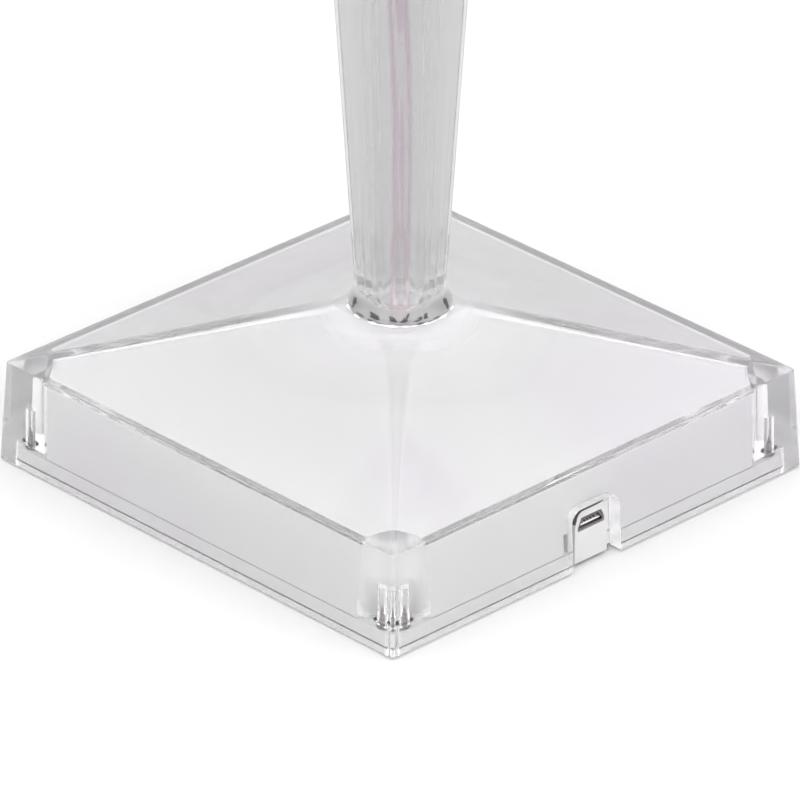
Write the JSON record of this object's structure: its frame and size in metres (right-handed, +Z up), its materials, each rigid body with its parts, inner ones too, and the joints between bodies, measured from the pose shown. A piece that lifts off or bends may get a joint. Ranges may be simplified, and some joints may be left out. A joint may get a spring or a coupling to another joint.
{
  "type": "cordless table lamp",
  "caption": "Cordless table lamp: square clear base with a low pyramid top and white lining, fluted tapering clear stem and pleated clear shade.",
  "frame": {"origin": "on the table, under the middle of the base", "axes": "+Z up the stem, -Y towards the side with the charging socket, +X to the right seen from that side"},
  "size_m": [0.14, 0.14, 0.256],
  "materials": {
    "clear_acrylic": "clear, polished",
    "clear_pvc": "clear, slightly soft",
    "white_plastic": "satin white moulding",
    "opal_plastic": "opal, light diffusing",
    "foot_rubber": "soft pale rubber",
    "zinc_steel": "zinc plated",
    "black_plastic": "glass filled, black",
    "board_laminate": "green solder mask",
    "white_laminate": "white solder mask",
    "connector_nylon": "natural nylon",
    "cell_wrap": "shrink sleeve",
    "nickel_strip": "spot welded strip",
    "wire_insulation": "silicone",
    "bare_copper": "stranded copper",
    "ferrite": "pressed ferrite",
    "capacitor_can": "sleeved can",
    "anodised_aluminium": "turned",
    "led_phosphor": "silicone phosphor",
    "cement": "cured acrylic cement"
  },
  "bodies": {
    "lamp": {"base_shell": "clear_acrylic", "stem": "clear_acrylic", "base_liner": "white_plastic", "bottom_plate": "white_plastic", "port_bezel": "white_plastic", "battery_cradle": "white_plastic", "head_cup": "white_plastic", "diffuser": "opal_plastic", "rubber_feet": "foot_rubber", "cable_grommet": "foot_rubber", "base_screws": "zinc_steel", "board_screws": "zinc_steel", "head_screws": "zinc_steel", "cement_bead": "cement", "usb_socket_shell": "zinc_steel", "usb_socket_tongue": "black_plastic", "charger_chip": "black_plastic", "tact_switch": "black_plastic", "control_board": "board_laminate", "led_board": "white_laminate", "battery_socket": "connector_nylon", "battery_plug": "connector_nylon", "battery_cell": "cell_wrap", "battery_tabs": "nickel_strip", "battery_leads": "wire_insulation", "cable_jacket": "clear_pvc", "cable_cores": "bare_copper", "driver_coil": "ferrite", "capacitors": "capacitor_can", "heat_sink": "anodised_aluminium", "led_chips": "led_phosphor"},
    "shade_assembly": {"shade": "clear_acrylic", "shade_carrier": "clear_acrylic"},
    "button": {"power_button": "white_plastic"}
  },
  "joints": [
    {"name": "shade_lift", "type": "slide", "parent": "lamp", "child": "shade_assembly", "axis": [0, 0, 1], "range_m": [0, 0.06]},
    {"name": "power_button_press", "type": "slide", "parent": "lamp", "child": "button", "axis": [0, 0, 1], "range_m": [0, 0.0008], "stiffness_N_per_m": 150, "springref_m": -0.002}
  ]
}
